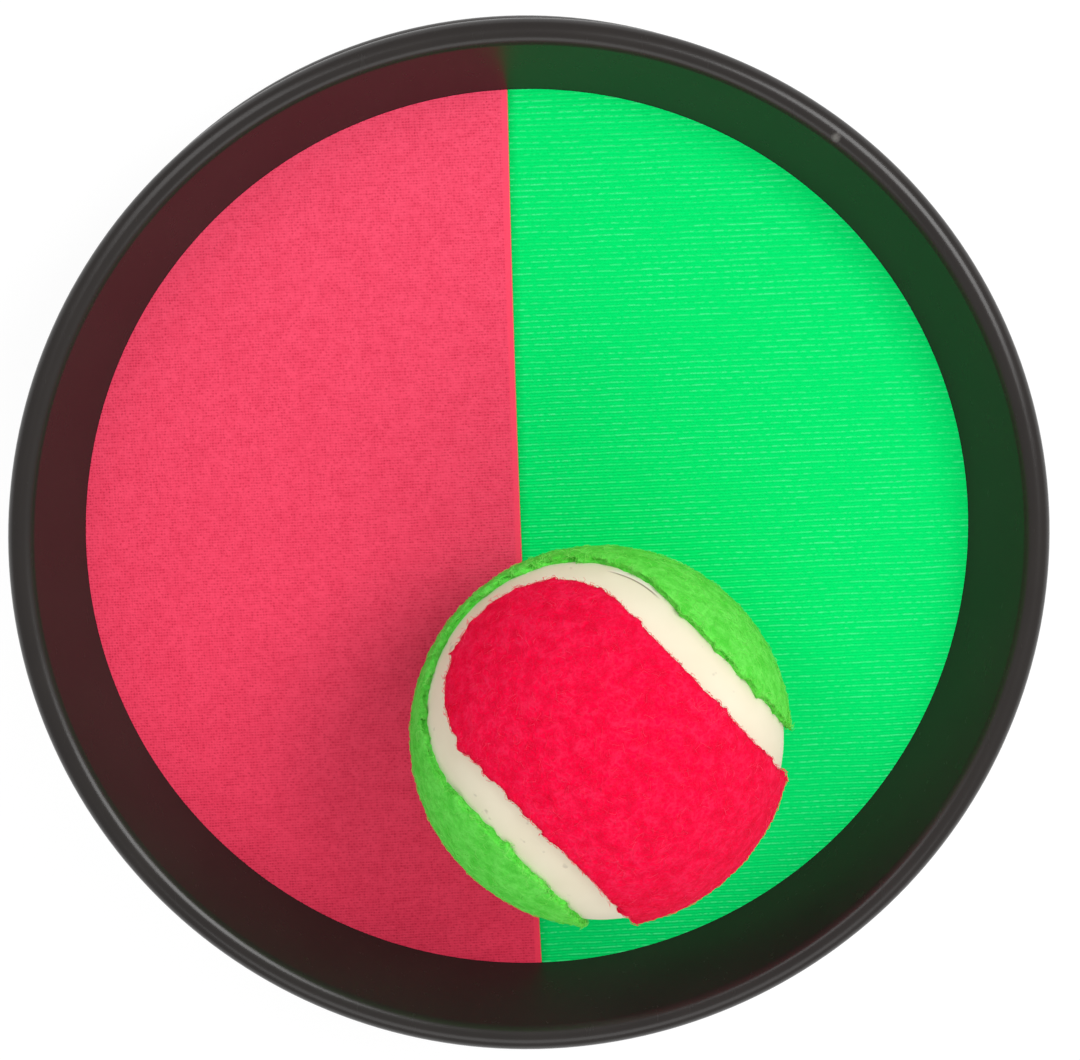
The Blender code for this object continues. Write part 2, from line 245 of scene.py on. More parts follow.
corner_line = arc(corner_centre, DISH_CORNER_RADIUS, -math.pi / 2, slope - math.pi / 2, CORNER_STEPS)
bead_line = arc(BEAD_CENTRE, BEAD_MIDDLE_RADIUS, math.pi / 2 + slope, -flare, BEAD_STEPS)
foot_line = [(BEAD_CENTRE[0], FOOT_HEIGHT), (BEAD_CENTRE[0], 0.0)]
wall_line = [(0.0, PLATE_MIDDLE)] + corner_line + bead_line + foot_line
print(f"dish wall leans {90 - math.degrees(slope):.1f} degrees out, {len(wall_line)} points")


# %% Spinning the wall
def make_wall(name):
    wall = draw_line(name, [(x, 0.0, z) for x, z in wall_line])
    spin_round(wall, SPIN_STEPS)
    modify(wall, "SOLIDIFY", thickness=SHELL_WALL, offset=0.0, use_even_offset=True)
    round_edges(wall, FOOT_EDGE, 3)
    return wall


# %% [markdown]
# Thin gussets cross the hollow rim and stiffen the lip, and two slotted bridges under the plate hold
# the strap. Each is an outline drawn once, filled, given its thickness by Solidify, and bevelled. The
# gusset is then copied round the rim. They sink into the wall by half its thickness, as in one moulding.

# %% Gussets
GUSSET_THICKNESS = 0.0015
GUSSET_CLEARANCE = 0.0045
GUSSET_COUNT = 12
WEB_EDGE = 0.00025


def extruded_plate(name, outline, thickness):
    """A flat outline drawn in place, filled and thickened to both sides."""
    plate = draw_line(name, outline, closed=True)
    modify(plate, "SOLIDIFY", thickness=thickness, offset=0.0)
    round_edges(plate, WEB_EDGE, 2, 50.0)
    return plate


def make_gussets(name):
    share = (GUSSET_CLEARANCE - FOOT_HEIGHT) / (bead_line[-1][1] - FOOT_HEIGHT)
    outer = foot_top.lerp(Vector(bead_line[-1]), share)
    outline = [corner_line[-1]] + bead_line[::3] + [bead_line[-1], (outer.x, outer.y)]
    gusset = extruded_plate(name, [(x, 0.0, z) for x, z in outline], GUSSET_THICKNESS)
    copies = [gusset]
    for index in range(1, GUSSET_COUNT):
        only(gusset)
        bpy.ops.object.duplicate()
        copy = bpy.context.object
        copy.rotation_euler.z = 2 * math.pi * index / GUSSET_COUNT
        copies.append(copy)
    only(*copies)
    bpy.ops.object.join()
    gusset.rotation_euler.z = math.pi / GUSSET_COUNT
    apply_place(gusset)
    return gusset


# %% Strap bridges
STRAP_WIDTH = 0.0300
STRAP_THICKNESS = 0.0012
STRAP_DIP = 0.0058
BRIDGE_SPACING = 0.0920
BRIDGE_BAR_WIDTH = 0.0034
BRIDGE_BAR_DEPTH = 0.0022
BRIDGE_SLOT_HEIGHT = 0.0030
BRIDGE_POST = 0.0030
BRIDGE_CORNER_RADIUS = 0.0020
BRIDGE_CORNER_STEPS = 6
SLOT_SIDE_CLEARANCE = 0.0008

SLOT_HALF = STRAP_WIDTH / 2 + SLOT_SIDE_CLEARANCE
BAR_TOP = BACK_RECESS - BRIDGE_SLOT_HEIGHT
BAR_BOTTOM = BAR_TOP - BRIDGE_BAR_DEPTH
BAR_X = BRIDGE_SPACING / 2
BAR_INNER_X = BAR_X - BRIDGE_BAR_WIDTH / 2


def make_bridge(name, x):
    outer = SLOT_HALF + BRIDGE_POST
    radius, steps = BRIDGE_CORNER_RADIUS, BRIDGE_CORNER_STEPS
    low = BAR_BOTTOM + radius
    outline = arc((-outer + radius, low), radius, math.pi, 1.5 * math.pi, steps)
    outline += arc((outer - radius, low), radius, 1.5 * math.pi, 2 * math.pi, steps)
    outline += [(outer, PLATE_MIDDLE), (SLOT_HALF, PLATE_MIDDLE), (SLOT_HALF, BAR_TOP)]
    outline += [(-SLOT_HALF, BAR_TOP), (-SLOT_HALF, PLATE_MIDDLE), (-outer, PLATE_MIDDLE)]
    return extruded_plate(name, [(x, y, z) for y, z in outline], BRIDGE_BAR_WIDTH)


# %% [markdown]
# The wall, gussets and bridges are joined into one piece for each board, turned by the small lean of
# the two-coloured face, and lifted to the board's place in the stack.

# %% Both shells
def dress(piece, board, node):
    """Turns and lifts the piece to its board, where it takes its node's place on the frame."""
    piece.rotation_euler.z = SPLIT_LEAN
    piece.location.z = BOARDS[board]
    apply_place(piece)
    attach(piece, "root")
    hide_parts(f"{board}_{node}")
    size_line(piece)
    return piece


shells = {}
for board in BOARDS:
    wall = make_wall(f"{board}_board")
    gussets = make_gussets("gussets")
    bridges = [make_bridge("left_bridge", -BAR_X), make_bridge("right_bridge", BAR_X)]
    only(wall, gussets, *bridges)
    bpy.ops.object.join()
    smooth(wall)
    shells[board] = dress(wall, board, "shell")

# %% [markdown]
# ## The two-coloured cloth
#
# Each half of the face is a half disc of loop cloth, glued flat on the plate. A full disc is cut by
# one bisect along the split. The real split bows slightly to the left, so its middle is nudged over
# with a proportional move, whose inverse-square falloff gives an even bow. The cut edges are rounded,
# as pressed cloth is.

# %% Half discs
CUT_GAP = 0.00001
CLOTH_EDGE = 0.0001
CLOTH_TRIM = 0.0003
CLOTH_TUCK = 0.0006
SPLIT_POINTS = 24
SPLIT_MIDDLE = 0.0005
SAME_PLACE = 0.00001


def make_half(name, side):
    """One half of the face; the side is -1 on the left and 1 on the right."""
    select_none()
    bpy.ops.mesh.primitive_circle_add(vertices=SPIN_STEPS, radius=CLOTH_RADIUS - CLOTH_TRIM,
                                      fill_type="NGON", location=(0.0, 0.0, CLOTH_TOP))
    half = named(bpy.context.object, name)
    apply_place(half)
    edit(half)
    cut = SPLIT_OFFSET + side * CUT_GAP
    bpy.ops.mesh.bisect(plane_co=(cut, 0, 0), plane_no=(side, 0, 0), clear_inner=True)
    select_points(half, lambda point: abs(point.x - cut) < SAME_PLACE)
    bpy.ops.mesh.subdivide(number_cuts=SPLIT_POINTS - 1)
    select_points(half, lambda point: abs(point.x - cut) < SAME_PLACE and abs(point.y) < SPLIT_MIDDLE)
    bpy.ops.transform.translate(value=(-SPLIT_BOW, 0, 0), use_proportional_edit=True,
                                proportional_edit_falloff="INVERSE_SQUARE",
                                proportional_size=CLOTH_RADIUS, use_proportional_connected=False)
    done()
    return half


def tuck_under(half):
    """Draws the lower face's rim in, so that the cloth's edge leans with the dish's wall."""
    low = min(vert.co.z for vert in half.data.vertices)
    edit(half, "DESELECT")
    select_points(half, lambda point: point.z < low + SAME_PLACE)
    share = 1.0 - CLOTH_TUCK / (CLOTH_RADIUS - CLOTH_TRIM)
    bpy.ops.transform.resize(value=(share, share, 1.0), center_override=(SPLIT_OFFSET, 0.0, CLOTH_TOP))
    done()


cloths = {}
for board in BOARDS:
    for side, colour in ((-1, "pink"), (1, "green")):
        half = make_half(f"{board}_{colour}_half", side)
        modify(half, "SOLIDIFY", thickness=CLOTH_THICKNESS, offset=-1.0)
        tuck_under(half)
        round_edges(half, CLOTH_EDGE, 3)
        smooth(half)
        dress(half, board, f"{colour}_cloth")
        cloths[board, colour] = half

# %% [markdown]
# ## The hand strap
#
# Flat webbing crosses the back: one end is sewn round the left bridge, and the other goes round the
# right one and is pressed back on itself with hook and loop tape. Its path is drawn point by point,
# the line is extruded to the strap's width, and Solidify and a bevel make it a band with soft edges.

# %% Path of the strap
SEWN_TAIL = 0.0210
FREE_TAIL = 0.0270
TAIL_BLEND = 0.0070
PATCH_THICKNESS = 0.0007
PATCH_MARGIN = 0.0020
HOOK_PATCH_LENGTH = 0.0170
LOOP_PATCH_LENGTH = 0.0290
STRAP_EDGE = 0.0003
TAPE_EDGE = 0.0001
TURN_STEPS = 14
SEWN_STEPS = 20
RUN_STEPS = 60
FREE_STEPS = 24
PATCH_STEPS = 20

STRAP_HIGH = BAR_TOP + SEAT_GAP + STRAP_THICKNESS / 2
STRAP_LOW = BAR_BOTTOM - SEAT_GAP - STRAP_THICKNESS / 2
TURN_RADIUS = (STRAP_HIGH - STRAP_LOW) / 2
TURN_X = BAR_X + BRIDGE_BAR_WIDTH / 2
LOOP_DROP = STRAP_THICKNESS / 2 + SEAT_GAP + PATCH_THICKNESS / 2
HOOK_DROP = LOOP_DROP + PATCH_THICKNESS + SEAT_GAP
FREE_DROP = HOOK_DROP + PATCH_THICKNESS / 2 + SEAT_GAP + STRAP_THICKNESS / 2


def run_height(x):
    share = min(abs(x) / BAR_INNER_X, 1.0)
    return STRAP_HIGH - STRAP_DIP * (1 + math.cos(math.pi * share)) / 2


def tail_height(x, drop):
    share = min(max((BAR_INNER_X - abs(x)) / TAIL_BLEND, 0.0), 1.0)
    eased = share * share * (3 - 2 * share)
    return STRAP_LOW + eased * (run_height(x) - drop - STRAP_LOW)


def evenly(start, end, steps):
    return [start + (end - start) * step / steps for step in range(steps + 1)]


middle = (STRAP_HIGH + STRAP_LOW) / 2
sewn_drop = STRAP_THICKNESS + SEAT_GAP
sewn = [(x, tail_height(x, sewn_drop)) for x in evenly(-BAR_X + SEWN_TAIL, -BAR_X, SEWN_STEPS)]
left_turn = arc((-TURN_X, middle), TURN_RADIUS, 1.5 * math.pi, math.pi / 2, TURN_STEPS)
long_run = [(x, run_height(x)) for x in evenly(-BAR_INNER_X, BAR_INNER_X, RUN_STEPS)]
right_turn = arc((TURN_X, middle), TURN_RADIUS, math.pi / 2, -math.pi / 2, TURN_STEPS)
free = [(x, tail_height(x, FREE_DROP)) for x in evenly(BAR_X, BAR_X - FREE_TAIL, FREE_STEPS)]
strap_line = sewn + left_turn + long_run + right_turn + free
print(f"strap: {len(strap_line)} points")


# %% Strap and tape patches
def make_band(name, line, width, thickness, edge):
    band = draw_line(name, [(x, -width / 2, z) for x, z in line])
    edit(band)
    bpy.ops.mesh.extrude_region_move(TRANSFORM_OT_translate={"value": (0, width, 0)})
    bpy.ops.mesh.select_all(action="SELECT")
    bpy.ops.mesh.normals_make_consistent(inside=False)
    done()
    modify(band, "SOLIDIFY", thickness=thickness, offset=0.0, use_even_offset=True)
    round_edges(band, edge, 2)
    smooth(band)
    return band


def patch_line(length, drop):
    start = BAR_INNER_X - TAIL_BLEND
    return [(x, run_height(x) - drop) for x in evenly(start, start - length, PATCH_STEPS)]


def make_patch(name, length, drop):
    width = STRAP_WIDTH - 2 * PATCH_MARGIN
    return make_band(name, patch_line(length, drop), width, PATCH_THICKNESS, TAPE_EDGE)


for board in BOARDS:
    strap = make_band(f"{board}_strap", strap_line, STRAP_WIDTH, STRAP_THICKNESS, STRAP_EDGE)
    dress(strap, board, "hand_strap")
    loop = make_patch(f"{board}_loop_tape", LOOP_PATCH_LENGTH, LOOP_DROP)
    dress(loop, board, "strap_loop_patch")
    hook = make_patch(f"{board}_hook_tape", HOOK_PATCH_LENGTH, HOOK_DROP)
    dress(hook, board, "strap_hook_patch")

# %% [markdown]
# ## The ball
#
# A cream rubber ball shows between two felt panels. The red panel is a strip with round ends that
# goes three quarters of the way round; the lime one is all that is left beyond a rubber band of even
# width. So one strip shape makes both: the red panel is the strip with its thickness, and the lime one
# is a hollow felt ball cut with the same strip, made wider by the band.

# %% Sizes of the ball
CORE_RADIUS = 0.0312
FELT_SEAT = 0.0005
FELT_THICKNESS = 0.0013
FELT_SINK = 0.0002
FELT_HALF_WIDTH = math.radians(34.0)
RUBBER_BAND = math.radians(14.0)
BALL_X = 0.0112
BALL_Y = -0.0308
BALL_TURN = (math.radians(-10.0), math.radians(58.0), math.radians(-55.0))
FELT_ARC = math.pi - 2 * FELT_HALF_WIDTH - RUBBER_BAND
RUBBER_RADIUS = CORE_RADIUS + FELT_SEAT
FELT_INNER = RUBBER_RADIUS - FELT_SINK
BALL_RADIUS = RUBBER_RADIUS + FELT_THICKNESS
BALL_CENTRE = (BALL_X, BALL_Y, BOARD_PITCH + CLOTH_TOP + SEAT_GAP + BALL_RADIUS)
print(f"ball {BALL_RADIUS * 2000:.1f} mm across, centre at", [round(v * 1000, 1) for v in BALL_CENTRE])


# %% Strip cutter
ALONG_STEPS = 120
ACROSS_STEPS = 48


def on_ball(across, along, half_width):
    """Direction on the ball; across and along run from -1 to 1 over a strip with round ends."""
    latitude = math.asin(math.sin(half_width) * math.sin(across * math.pi / 2))
    end_reach = math.acos(min(math.cos(half_width) / math.cos(latitude), 1.0))
    longitude = along * (FELT_ARC + end_reach)
    ring = math.cos(latitude)
    return Vector((ring * math.sin(longitude), math.sin(latitude), ring * math.cos(longitude)))


def make_strip(name, half_width, inner, outer):
    """A curved strip with round ends, from the inner to the outer radius, laid on the unturned ball."""
    select_none()
    bpy.ops.mesh.primitive_grid_add(x_subdivisions=ALONG_STEPS, y_subdivisions=ACROSS_STEPS, size=2)
    strip = named(bpy.context.object, name)
    for vert in strip.data.vertices:
        across, along = vert.co.y, vert.co.x
        vert.co = inner * on_ball(across, along, half_width)
    modify(strip, "SOLIDIFY", thickness=outer - inner, offset=1.0)
    return strip


# %% [markdown]
# The felt is soft, so the cut panels are remeshed to even small faces and smoothed until their edges
# are round. Then only their edges are pushed in and out by a cloud texture, through a vertex group
# that is strongest where the surface faces sideways, which leaves them as ragged as cut felt. A finer
# cloud over the whole face gives the mat its dimples.

# %% Felt panels
FELT_VOXEL = 0.00060
EDGE_MIDDLE = 0.60
EDGE_DEPTH = 0.0044
NICK_DEPTH = 0.0020
DIMPLE_DEPTH = 0.0003
EDGE_GAIN = 1.6


def cloud(name, size, depth):
    texture = bpy.data.textures.new(name, "CLOUDS")
    texture.noise_scale = size
    texture.noise_depth = depth
    return texture


edge_cloud = cloud("edge_cloud", 0.0026, 2)
nick_cloud = cloud("nick_cloud", 0.0008, 1)
dimple_cloud = cloud("dimple_cloud", 0.0026, 2)


def soften(felt):
    modify(felt, "REMESH", mode="VOXEL", voxel_size=FELT_VOXEL, use_smooth_shade=True)
    modify(felt, "SMOOTH", factor=0.5, iterations=2)
    edge_group = felt.vertex_groups.new(name="edge")
    for vert in felt.data.vertices:
        sideways = 1.0 - abs(vert.normal.dot(vert.co.normalized()))
        edge_group.add([vert.index], min(EDGE_GAIN * sideways, 1.0), "REPLACE")
    for texture, depth in ((edge_cloud, EDGE_DEPTH), (nick_cloud, NICK_DEPTH)):
        modify(felt, "DISPLACE", texture=texture, texture_coords="LOCAL", strength=depth,
               mid_level=EDGE_MIDDLE, vertex_group="edge")
    modify(felt, "SMOOTH", factor=0.5, iterations=1)
    modify(felt, "DISPLACE", texture=dimple_cloud, texture_coords="LOCAL", strength=DIMPLE_DEPTH,
           mid_level=0.5)


# %% [markdown]
# Loose fibres stand out of real felt as tiny arches, and fray its cut edge. Hair particles could make
# them, but a few thousand copies of one small strand are lighter. The strand is modelled once, by
# extruding a three-sided face along an arch, and its copies are set on the felt at random places, each
# standing along the normal there. The random numbers have a seed, so every run gives the same fuzz.

# %% One fibre
FIBRE_SPAN = 0.0021
FIBRE_RISE = 0.00042
FIBRE_RADIUS = 0.000045
FIBRE_WAVE = 0.18
FIBRE_STEPS = 4


def make_fibre():
    select_none()
    last = Vector((-FIBRE_SPAN / 2, 0, -FIBRE_RISE / 2))
    bpy.ops.mesh.primitive_circle_add(vertices=3, radius=FIBRE_RADIUS, fill_type="NGON", location=last,
                                      rotation=(0, math.pi / 2, 0))
    fibre = named(bpy.context.object, "fibre")
    apply_place(fibre)
    edit(fibre)
    for step in range(1, FIBRE_STEPS + 1):
        share = step / FIBRE_STEPS
        bend = FIBRE_SPAN * FIBRE_WAVE * math.sin(2 * math.pi * share)
        point = Vector((FIBRE_SPAN * (share - 0.5), bend, FIBRE_RISE * (math.sin(math.pi * share) - 0.5)))
        bpy.ops.mesh.extrude_region_move(TRANSFORM_OT_translate={"value": point - last})
        last = point
    bpy.ops.mesh.select_all(action="SELECT")
    bpy.ops.mesh.normals_make_consistent(inside=False)
    done()
    return fibre


# %% Fuzz on a panel
FIBRE_COUNT = 3600
FIBRE_DEPTH = 0.3
EDGE_CROWD = 14.0


def add_fuzz(felt, seed):
    """Joins copies of the fibre to the felt's outer side, more of them where the edge frays."""
    fibre = make_fibre()
    strand = np.array([vert.co for vert in fibre.data.vertices])
    faces = [tuple(face.vertices) for face in fibre.data.polygons]
    bpy.data.objects.remove(fibre, do_unlink=True)
    deepest = RUBBER_RADIUS + FIBRE_DEPTH * FELT_THICKNESS
    roots = [vert for vert in felt.data.vertices if vert.co.length > deepest]
    leaning = np.array([1.0 - abs(root.normal.dot(root.co.normalized())) for root in roots])
    crowd = 1.0 + EDGE_CROWD * np.clip(leaning, 0.0, 1.0)
    chance = np.random.default_rng(seed)
    points, polygons = [], []
    for index in chance.choice(len(roots), FIBRE_COUNT, replace=False, p=crowd / crowd.sum()):
        root = roots[int(index)]
        normal = np.array(root.normal)
        along = np.cross(normal, chance.normal(size=3))
        along /= np.linalg.norm(along)
        axes = np.stack([along, np.cross(normal, along), normal])
        length, bend, rise = chance.uniform(0.5, 1.2), chance.uniform(-1.4, 1.4), chance.uniform(0.3, 1.2)
        first = len(points) * len(strand)
        points.append((strand * (length, bend, rise)) @ axes + np.array(root.co))
        polygons += [tuple(first + corner for corner in face) for face in faces]
    mesh = bpy.data.meshes.new("fuzz")
    mesh.from_pydata(np.concatenate(points), [], polygons)
    fuzz = bpy.data.objects.new("fuzz", mesh)
    bpy.context.scene.collection.objects.link(fuzz)
    edit(fuzz)
    bpy.ops.mesh.normals_make_consistent(inside=False)
    done()
    felt_faces = len(felt.data.polygons)
    only(felt, fuzz)
    bpy.ops.object.join()
    return felt_faces


# %% Panels and their place
BALL_RINGS = 64


def turn_ball_piece(piece):
    piece.rotation_euler = BALL_TURN
    piece.location = BALL_CENTRE
    apply_place(piece)


def make_red_panel():
    felt = make_strip("red_panel", FELT_HALF_WIDTH, FELT_INNER, BALL_RADIUS)
    soften(felt)
    return felt


def make_lime_panel():
    select_none()
    bpy.ops.mesh.primitive_uv_sphere_add(segments=2 * BALL_RINGS, ring_count=BALL_RINGS, radius=BALL_RADIUS)
    felt = named(bpy.context.object, "lime_panel")
    modify(felt, "SOLIDIFY", thickness=BALL_RADIUS - FELT_INNER, offset=-1.0)
    inner, outer = CORE_RADIUS - FELT_SEAT, BALL_RADIUS + 2 * FELT_SEAT
    cutter = make_strip("red_side", FELT_HALF_WIDTH + RUBBER_BAND, inner, outer)
    modify(felt, "BOOLEAN", object=cutter, operation="DIFFERENCE", solver="EXACT")
    bpy.data.objects.remove(cutter, do_unlink=True)
    soften(felt)
    return felt


mat_faces = {}
for seed, panel in enumerate((make_red_panel(), make_lime_panel())):
    mat_faces[panel.name] = add_fuzz(panel, seed)
    smooth(panel, 180.0)
    turn_ball_piece(panel)
    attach(panel, "root")
    node = panel.name.replace("panel", "felt")
    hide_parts(f"ball_{node}")
    size_line(panel)

# %% [markdown]
# The rubber core is a sphere of even quads. The felt is glued on it, so here it fills the small seat
# that the solids keep between the two. A faint cloud keeps it from looking machined: bare rubber of a
# cheap ball is a little uneven.

# %% Rubber core
RUBBER_WAVINESS = 0.0002

select_none()
bpy.ops.mesh.primitive_cube_add(size=2 * RUBBER_RADIUS)
core = named(bpy.context.object, "rubber_core")
edit(core)
bpy.ops.mesh.subdivide(number_cuts=BALL_RINGS - 1)
bpy.ops.transform.tosphere(value=1.0)
done()
for vert in core.data.vertices:
    vert.co = vert.co.normalized() * RUBBER_RADIUS
rubber_cloud = cloud("rubber_cloud", 0.006, 2)
modify(core, "DISPLACE", texture=rubber_cloud, texture_coords="LOCAL", strength=RUBBER_WAVINESS,
       mid_level=0.5)
smooth(core)
turn_ball_piece(core)
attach(core, "root")
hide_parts("ball_core")
size_line(core)

# %% [markdown]
# ## Materials
#
# Shader maths reads best as plain expressions. A small class wraps a socket and turns +, -, * and /
# into Math nodes, and one method adds any other node with its settings and inputs.

# %% Shader maths
class Sock:
    """A socket whose arithmetic, with other sockets or numbers, adds Math nodes."""

    def __init__(self, shader, socket):
        self.shader = shader
        self.socket = socket

    def _math(self, operation, *values):
        return self.shader.node("ShaderNodeMath", {"operation": operation}, dict(enumerate(values)))

    def __add__(self, other):
        return self._math("ADD", self, other)

    def __radd__(self, other):
        return self._math("ADD", other, self)

    def __sub__(self, other):
        return self._math("SUBTRACT", self, other)

    def __rsub__(self, other):
        return self._math("SUBTRACT", other, self)

    def __mul__(self, other):
        return self._math("MULTIPLY", self, other)

    def __rmul__(self, other):
        return self._math("MULTIPLY", other, self)

    def __truediv__(self, other):
        return self._math("DIVIDE", self, other)

    def size(self):
        """The value without its sign."""
        return self._math("ABSOLUTE", self)

    def power(self, other):
        return self._math("POWER", self, other)

    def sine(self):
        return self._math("SINE", self)

    def floor(self):
        return self._math("FLOOR", self)

    def wave(self, pitch):
        """Runs smoothly between 0 and 1, once in each pitch."""
        return (self * (2 * math.pi / pitch)).sine() * 0.5 + 0.5

    def clamped(self):
        return self.shader.node("ShaderNodeClamp", {}, {"Value": self})

    def between(self, low, high, start=0.0, end=1.0):
        """The value mapped from low..high to start..end, and held there beyond."""
        values = {"Value": self, "From Min": low, "From Max": high, "To Min": start, "To Max": end}
        return self.shader.node("ShaderNodeMapRange", {"clamp": True}, values)


class Shader:
    """A new material, with one method that adds any node."""

    def __init__(self, name, **constants):
        self.material = bpy.data.materials.new(name)
        self.material.use_nodes = True
        self.tree = self.material.node_tree
        self.surface = self.tree.nodes["Principled BSDF"]
        for key, value in constants.items():
            self.surface.inputs[key.replace("_", " ")].default_value = value

    def node(self, kind, settings, values, output=0):
        made = self.tree.nodes.new(kind)
        for key, value in settings.items():
            setattr(made, key, value)
        for key, value in values.items():
            self.link(value, made.inputs[key])
        return Sock(self, made.outputs[output])

    def link(self, value, socket):
        if isinstance(value, Sock):
            self.tree.links.new(value.socket, socket)
        else:
            socket.default_value = value

    def set(self, name, value):
        self.link(value, self.surface.inputs[name])

    def place(self, turn=0.0, centre=(0.0, 0.0, 0.0)):
        """Object coordinates in metres, moved to the centre and turned about Z."""
        own = self.node("ShaderNodeTexCoord", {}, {}, output="Object")
        moved = self.node("ShaderNodeVectorMath", {"operation": "SUBTRACT"}, {0: own, 1: centre})
        values = {"Vector": moved, "Rotation": (0, 0, turn)}
        return self.node("ShaderNodeMapping", {"vector_type": "POINT"}, values)

    def axes(self, vector):
        made = self.tree.nodes.new("ShaderNodeSeparateXYZ")
        self.link(vector, made.inputs[0])
        return [Sock(self, made.outputs[index]) for index in range(3)]

    def dot(self, vector, other):
        made = self.tree.nodes.new("ShaderNodeVectorMath")
        made.operation = "DOT_PRODUCT"
        self.link(vector, made.inputs[0])
        made.inputs[1].default_value = other
        return Sock(self, made.outputs["Value"])

    def noise(self, vector, per_metre, detail=2.0, rough=0.5, stretch=None):
        if stretch is not None:
            vector = self.node("ShaderNodeVectorMath", {"operation": "MULTIPLY"}, {0: vector, 1: stretch})
        values = {"Vector": vector, "Scale": per_metre, "Detail": detail, "Roughness": rough}
        return self.node("ShaderNodeTexNoise", {}, values, output="Fac")

    def ridge(self, value, sharpness):
        """1 along the lines where a noise passes its middle, which look like fibres, and 0 away from them."""
        return (1 - ((value - 0.5) * sharpness).size()).clamped()

    def mix(self, factor, first, second):
        values = {0: factor, 6: first, 7: second}
        return self.node("ShaderNodeMix", {"data_type": "RGBA"}, values, output=2)

    def bump(self, height, distance, strength=1.0):
        values = {"Height": height, "Distance": distance, "Strength": strength}
        self.set("Normal", self.node("ShaderNodeBump", {}, values, output="Normal"))


def paint(material, *pieces):
    for piece in pieces:
        piece.data.materials.clear()
        piece.data.materials.append(material)
    names = ", ".join(piece.name for piece in pieces)
    print(f"{material.name}: {len(material.node_tree.nodes)} nodes, on {names}")


def named_pieces(*names):
    return [bpy.data.objects[name] for name in names]


# %% [markdown]
# **Black plastic.** A glossy injection moulding is never a perfect mirror: its skin has a very slight
# waviness, the gloss is uneven where it was handled, and fine hairline scratches break the highlight.
# One small knock on the lip has left a pale mark.

# %% Black plastic
KNOCK_PLACE = (0.0532, 0.0717, 0.0580)


def black_plastic():
    shader = Shader("black_plastic", IOR=1.39)
    place = shader.place()
    cloudy = shader.noise(place, 60.0, 3.0)
    fine = shader.noise(place, 2200.0, 2.0)
    scuffs = shader.noise(place, 500.0, 4.0, 0.7, stretch=(1.0, 0.15, 1.0)).between(0.62, 0.78)
    black = shader.mix(cloudy, (0.017, 0.014, 0.013, 1), (0.024, 0.020, 0.018, 1))
    knock = shader.node("ShaderNodeVectorMath", {"operation": "DISTANCE"}, {0: place, 1: KNOCK_PLACE},
                        output="Value")
    mark = (knock + fine * 0.0006).between(0.0006, 0.0013, 1.0, 0.0)
    shader.set("Base Color", shader.mix(mark * 0.8, black, (0.16, 0.15, 0.14, 1)))
    shader.set("Roughness", 0.21 + cloudy * 0.09 + scuffs * 0.12)
    shader.bump(cloudy * 0.6 + fine * 0.02, 0.0004, 0.25)
    return shader.material


paint(black_plastic(), *shells.values())

# %% [markdown]
# ** Pink cloth.** Seen close, the loop pile stands on a fine woven ground: rows of dark dots between
# tiny tufts, with blotches a millimetre or two wide where the pile lies differently. Painted shade makes
# the whole half a little darker towards the near side.

# %% Pink cloth
def from_split(x, y):
    """Distance to the right of the bowed split, in metres."""
    return x - (SPLIT_OFFSET - SPLIT_BOW) - y * y * (SPLIT_BOW / CLOTH_RADIUS ** 2)


WEAVE_PITCH = 0.00050


def pink_cloth():
    shader = Shader("pink_cloth", Specular_IOR_Level=0.1)
    place = shader.place(turn=-SPLIT_LEAN)
    x, y = shader.axes(place)[:2]
    wander = shader.noise(place, 400.0, 2.0) * 0.0002
    jitter = shader.noise(place, 1300.0, 1.0) * 0.0004
    across, down = (x + wander + jitter) / WEAVE_PITCH, (y + wander) / WEAVE_PITCH
    rows = (down - 0.25).wave(1.0)
    columns = (across - 0.25).wave(1.0)
    cell = shader.node("ShaderNodeCombineXYZ", {}, {"X": across.floor(), "Y": down.floor()})
    depth = shader.node("ShaderNodeTexWhiteNoise", {"noise_dimensions": "2D"}, {"Vector": cell},
                        output="Value")
    weave = 1 - rows * (columns * 0.6 + 0.4) * depth.between(0.0, 1.0, 0.15, 0.85)
    blotch = shader.noise(place, 430.0, 3.0, 0.6).between(0.40, 0.62)
    tuft = shader.noise(place, 2600.0, 2.0)
    # Painted shade: both weave colours run darker towards the near edge (-Y) and lighter towards the far one,
    # as if lit from the far side.
    painted_light_level = (y / (2 * CLOTH_RADIUS) + 0.5).clamped()
    seam = from_split(x, y)
    pressed = seam.between(-0.0014, -0.0009)
    bright = shader.mix(painted_light_level, (0.93, 0.054, 0.122, 1), (0.94, 0.090, 0.172, 1))
    deep = shader.mix(painted_light_level, (0.57, 0.010, 0.042, 1), (0.62, 0.020, 0.060, 1))
    dark = ((1 - weave) * 0.68 + blotch * 0.14 + tuft * 0.30).clamped() * (1 - pressed * 0.75)
    colour = shader.mix(dark, bright, deep)
    colour = shader.mix(pressed * 0.35, colour, (0.95, 0.040, 0.080, 1))
    colour = shader.mix(seam.between(-0.00016, -0.00008) * 0.75, colour, (0.62, 0.34, 0.12, 1))
    shader.set("Base Color", colour)
    shader.set("Roughness", 0.9)
    shader.bump((weave * 0.6 + tuft * 0.5) * (1 - pressed * 0.7), 0.0003, 0.7)
    return shader.material


# %% [markdown]
# **Green cloth.** This half is knitted with fine ribs that run across the board, half a millimetre
# apart. On every second rib short bright floats catch the light, like a row of stitches.

# %% Green cloth
RIB_PITCH = 0.00053


